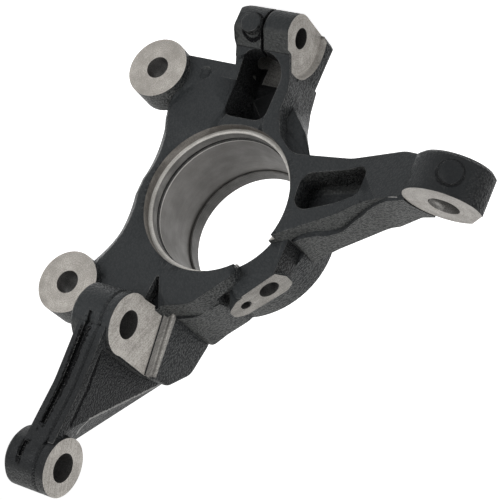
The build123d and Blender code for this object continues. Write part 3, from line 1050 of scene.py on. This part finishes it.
@dataclass
class SensorPad:
    """The wheel speed sensor's milled pad, with the sensor's hole and its screw's hole.

    Each hole has its step along the pad from the pad's middle, and its radius.
    """

    turn_deg: float = 38.5
    reach: float = 54.5
    middle_y: float = -12.4
    pad_r: float = 34.0
    holes: tuple[Span, ...] = ((2.3, 5.5), (16.6, 3.0))
    depth: float = 32.0
    cutter_y: float = 60.0

    def patches(self) -> list[Patch]:
        """Lists the pad and the two holes.

        Returns:
            The patches.
        """
        turn = np.radians(self.turn_deg)
        out = (float(np.cos(turn)), 0.0, float(np.sin(turn)))
        x, z = self.reach * out[0], self.reach * out[2]
        middle = (x, self.middle_y, z)
        face = BareMetal("sensor_pad", (x, self.cutter_y, z), Axis.X, lines=1.0,
                         dark=(0.14, 0.132, 0.12), light=(0.31, 0.295, 0.272))
        wall = BareMetal("sensor_holes", middle, Axis.Y, along_axis=True,
                         dark=(0.04, 0.04, 0.04), light=(0.15, 0.145, 0.14))
        found = [Patch(face, Side.FLAT, middle, out, self.pad_r)]
        for step, radius in self.holes:
            centre = (x - step * out[2], self.middle_y, z + step * out[0])
            found.append(Patch(wall, Side.ROUND, centre, out, radius, -self.depth, 1.0))
        return found


@dataclass
class CastHollows:
    """The cast places whose paint is darker than the rest, as painted shade, and lighter, as
    painted light.

    Each has its centre, its radius, and the heights along its axis between which it lies.
    """

    window: Room = ((-7.0, -3.0, -66.0), 26.0, -15.0, 9.0)
    step_face: Room = ((45.4, -10.0, 18.0), 30.0, -0.3, 0.3)
    notch: Room = ((-12.0, -2.0, 54.0), 11.0, -14.0, 7.3)
    pocket_floor: Room = ((58.0, 0.0, -20.0), 26.0, -14.0, -6.0)

    def patches(self) -> list[Patch]:
        """Lists the clamp's window, the step by the sensor pad, the notch and the arm's pocket.

        Returns:
            The patches.
        """
        # painted shade: a near black paint for the clamp's window and the step by the sensor pad
        shadowed = PaintedCasting(name="shadowed_paint", deep=(0.003, 0.0034, 0.0037),
                                  base=(0.006, 0.0067, 0.007),
                                  dust_and_sheen=(0.02, 0.021, 0.021), hollow_shade=1.0)
        # painted light: a lighter paint with little painted shade, so the notch reads mid grey
        valley = PaintedCasting(name="valley_paint", deep=(0.04, 0.043, 0.044),
                                base=(0.06, 0.063, 0.064), dust_and_sheen=(0.16, 0.16, 0.155),
                                hollow_shade=0.15, junction_shade=0.2)
        # less painted shade on the arm's pocket floor
        pocket = PaintedCasting(name="pocket_paint", hollow_shade=0.25, junction_shade=0.45)
        found = []
        for finish, side, axis, (centre, radius, low, high) in (
                (shadowed, Side.HOLLOW, Y_AXIS, self.window),
                (shadowed, Side.FLAT, X_AXIS, self.step_face),
                (valley, Side.HOLLOW, Y_AXIS, self.notch),
                (pocket, Side.HOLLOW, Y_AXIS, self.pocket_floor)):
            found.append(Patch(finish, side, centre, axis, radius, low, high))
        return found


# ---------------------------------------------------------------- the casting


@dataclass
class Casting:
    """The knuckle's one casting, dressed from the CAD node of the same form."""

    node: str = "knuckle"
    body: str = "root"
    slot: str = "casting"
    name: str = "knuckle_casting"
    merge_mm: float = 0.002
    sharp_deg: float = 24.0
    even_weight: int = 80
    paint: PaintedCasting = field(default_factory=PaintedCasting)
    parts: tuple = field(default_factory=lambda: (
        BearingBore(), CaliperEars(), StrutFlange(), BallJointClamp(), TieRodBoss(), SensorPad(),
        CastHollows()))

    def copy_merged(self) -> bpy.types.Object:
        """Copies the CAD node and merges the copy's doubled corners.

        Returns:
            The copy, linked to the scene.
        """
        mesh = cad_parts[self.node].data.copy()
        mesh.name = self.name
        piece = bpy.data.objects.new(self.name, mesh)
        bpy.context.scene.collection.objects.link(piece)
        work = bmesh.new()
        work.from_mesh(mesh)
        bmesh.ops.remove_doubles(work, verts=work.verts, dist=self.merge_mm * MM)
        work.to_mesh(mesh)
        work.free()
        return piece

    def dress(self, piece: bpy.types.Object, effects: Effects) -> None:
        """Gives each face the finish of the first patch that holds it, or else the paint.

        Args:
            piece: the merged copy.
            effects: the shared groups.
        """
        mesh = piece.data
        count = len(mesh.polygons)
        spots, normals = np.empty(count * 3), np.empty(count * 3)
        mesh.polygons.foreach_get("center", spots)
        mesh.polygons.foreach_get("normal", normals)
        spots, normals = spots.reshape(-1, 3) / MM, normals.reshape(-1, 3)
        mesh.materials.clear()
        mesh.materials.append(self.paint.material(effects))
        index = np.zeros(count, np.int32)
        slots: dict[str, int] = {}
        for patch in (patch for part in self.parts for patch in part.patches()):
            name = patch.finish.name
            if name not in slots:
                mesh.materials.append(patch.finish.material(effects))
                slots[name] = len(mesh.materials) - 1
            held = patch.holds(spots, normals) & (index == 0)
            index[held] = slots[name]
            LOG.info("%s: %d faces", name, int(held.sum()))
        mesh.polygons.foreach_set("material_index", index)
        mesh.shade_smooth()
        mesh.set_sharp_from_angle(angle=float(np.radians(self.sharp_deg)))
        mesh.update()

    def build(self, effects: Effects) -> bpy.types.Object:
        """Makes the dressed casting and lets it ride on its body.

        Args:
            effects: the shared groups.

        Returns:
            The finished piece.
        """
        piece = self.copy_merged()
        self.dress(piece, effects)
        even = piece.modifiers.new("even_shading", "WEIGHTED_NORMAL")
        even.keep_sharp = True
        even.weight = self.even_weight
        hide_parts(self.node)
        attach(piece, self.body)
        return piece


# ---------------------------------------------------------------- studio


@dataclass
class PhotoCamera:
    """The photograph's camera: its place, its three axes and its lens."""

    place_m: Point = (0.4799, 0.7119, 0.2314)
    right: Point = (0.82675338, -0.4102769, -0.38490482)
    up: Point = (-0.21644801, 0.39954108, -0.89079581)
    back: Point = (0.51925823, 0.81978033, 0.24151832)
    lens_mm: float = 122.736
    sensor_mm: float = 36.0
    clip_m: Span = (0.05, 20.0)

    def build(self) -> bpy.types.Object:
        """Makes the scene's camera.

        Returns:
            The camera.
        """
        data = bpy.data.cameras.new("photo_camera")
        data.lens = self.lens_mm
        data.sensor_width = self.sensor_mm
        data.clip_start, data.clip_end = self.clip_m
        camera = bpy.data.objects.new("photo_camera", data)
        bpy.context.scene.collection.objects.link(camera)
        turn = Matrix((self.right, self.up, self.back)).transposed().to_4x4()
        camera.matrix_world = Matrix.Translation(self.place_m) @ turn
        bpy.context.scene.camera = camera
        return camera


@dataclass
class SoftBox:
    """A square soft light that looks at one point, in metres."""

    name: str
    place: Point
    size: float
    watts: float
    target: Point = (0.02, 0.0, 0.02)

    def build(self) -> bpy.types.Object:
        """Makes the light.

        Returns:
            The light's object.
        """
        data = bpy.data.lights.new(self.name, "AREA")
        data.shape = "SQUARE"
        data.size = self.size
        data.energy = self.watts
        lamp = bpy.data.objects.new(self.name, data)
        bpy.context.scene.collection.objects.link(lamp)
        lamp.location = self.place
        look = Vector(self.target) - Vector(self.place)
        lamp.rotation_euler = look.to_track_quat("-Z", "Y").to_euler()
        return lamp


@dataclass
class Studio:
    """A pale floor, a white surround and soft boxes at a plain level."""

    floor_drop: float = 0.0005
    floor_half: float = 6.0
    floor_tone: Colour = (0.8, 0.8, 0.8)
    floor_rough: float = 0.9
    floor_glow: float = 0.86
    sky: float = 0.2
    white: Colour = (1.0, 1.0, 1.0)
    boxes: tuple[SoftBox, ...] = field(default_factory=lambda: (
        SoftBox("key", (-0.45, 1.5, 0.45), 0.9, 13.0),
        SoftBox("side", (1.5, 0.35, 0.75), 0.9, 13.6),
        SoftBox("top", (-0.3, -0.3, 1.7), 1.0, 15.5)))

    def seen(self, g: Graph) -> Socket:
        """A number that is 1 for what the camera, a mirror or glass sees, and 0 for the rest.

        Args:
            g: the writer of the floor's or the world's nodes.

        Returns:
            The number's socket.
        """
        path = g.add("LightPath").outputs
        both = g.math("ADD", path["Is Camera Ray"], path["Is Glossy Ray"])
        return g.math("ADD", both, path["Is Transmission Ray"], clamp=True)

    def floor(self) -> bpy.types.Object:
        """Makes the floor just under the casting.

        Returns:
            The floor's object.
        """
        low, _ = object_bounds()
        h, z = self.floor_half, low.z - self.floor_drop
        mesh = bpy.data.meshes.new("floor")
        mesh.from_pydata([(-h, -h, z), (h, -h, z), (h, h, z), (-h, h, z)], [], [(0, 1, 2, 3)])
        plane = bpy.data.objects.new("floor", mesh)
        bpy.context.scene.collection.objects.link(plane)
        material, g, shader = new_material("pale_floor")
        g.feed(shader, Base_Color=self.floor_tone, Roughness=self.floor_rough,
               Specular_IOR_Level=0.0, Emission_Color=self.white,
               Emission_Strength=g.math("MULTIPLY", self.seen(g), self.floor_glow))
        mesh.materials.append(material)
        plane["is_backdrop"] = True
        return plane

    def surround(self) -> None:
        """Makes the world white where it is seen and soft where it lights."""
        world = bpy.data.worlds.new("surround")
        bpy.context.scene.world = world
        world.use_nodes = True
        g = Graph(world.node_tree)
        strength = g.math("ADD", g.math("MULTIPLY", self.seen(g), 1.0 - self.sky), self.sky)
        sky = g.feed(g.add("Background"), Color=self.white, Strength=strength)
        g.feed(g.add("OutputWorld"), Surface=sky.outputs[0])

    def build(self) -> None:
        """Makes floor, surround and lights, and sets the view transform."""
        self.floor()
        self.surround()
        for box in self.boxes:
            box.build()
        bpy.context.scene.view_settings.view_transform = "Standard"


def main() -> None:
    """Builds the camera, the casting and the studio."""
    logging.basicConfig(level=logging.INFO, format="%(message)s")
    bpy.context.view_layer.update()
    PhotoCamera().build()
    piece = Casting().build(Effects())
    LOG.info("%s: %d faces, %d materials", piece.name, len(piece.data.polygons),
             len(piece.data.materials))
    Studio().build()


if __name__ == "__main__":
    main()
